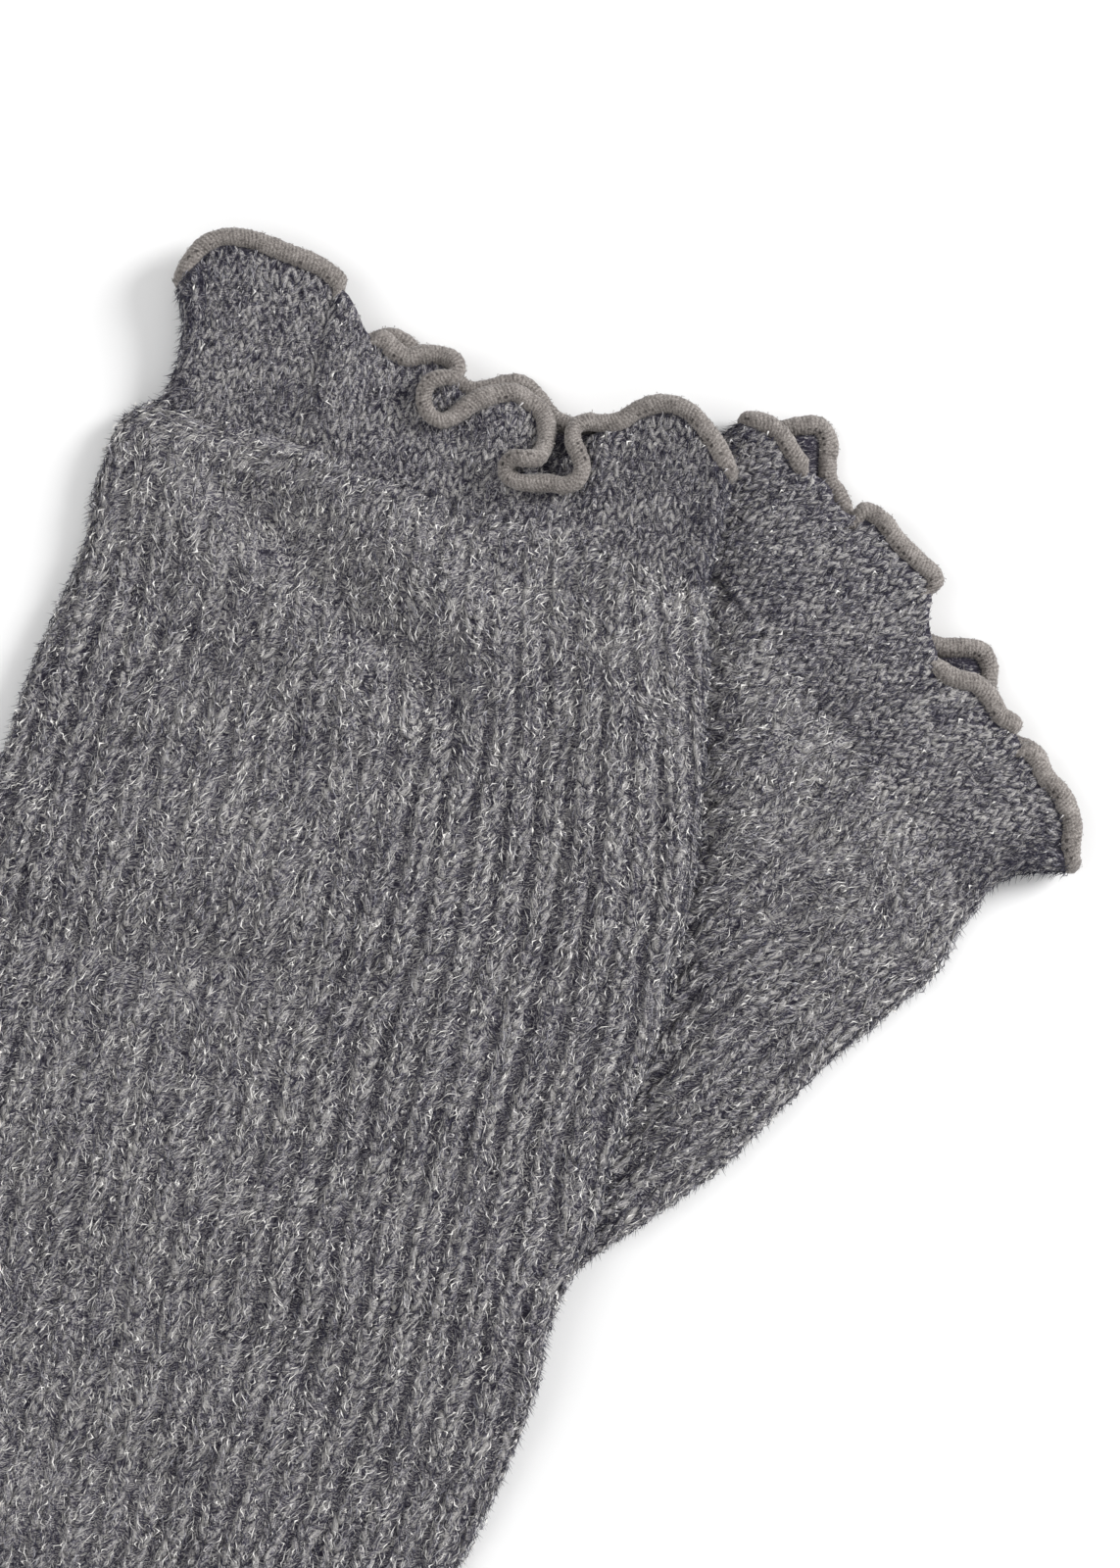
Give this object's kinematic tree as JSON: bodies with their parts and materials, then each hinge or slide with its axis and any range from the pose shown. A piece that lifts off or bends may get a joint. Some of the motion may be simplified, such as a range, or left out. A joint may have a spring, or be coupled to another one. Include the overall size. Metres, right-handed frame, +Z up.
{
  "type": "pair of leg warmers",
  "caption": "Pair of ribbed knit leg warmers laid flat, one across the other, each with a plain band flaring to a wavy rolled lettuce edge.",
  "frame": {"origin": "middle of the pair's box in plan, on the surface it lies on", "axes": "+Z up from the surface, +Y up the page as the pair is seen from above, with the lettuce edges at +Y, +X to the right"},
  "size_m": [0.3946, 0.448, 0.0172],
  "materials": {
    "rib_knit": "brushed grey melange rib knit, matte, with a soft halo of fibres",
    "plain_knit": "brushed grey melange plain knit, matte, with a soft halo of fibres",
    "edge_thread": "warm grey overlock thread wrapped closely round the rolled edge"
  },
  "bodies": {
    "root": {"upper_leg": "rib_knit", "upper_band": "plain_knit", "upper_lettuce_edge": "edge_thread", "lower_leg": "rib_knit", "lower_band": "plain_knit", "lower_lettuce_edge": "edge_thread"}
  },
  "joints": []
}
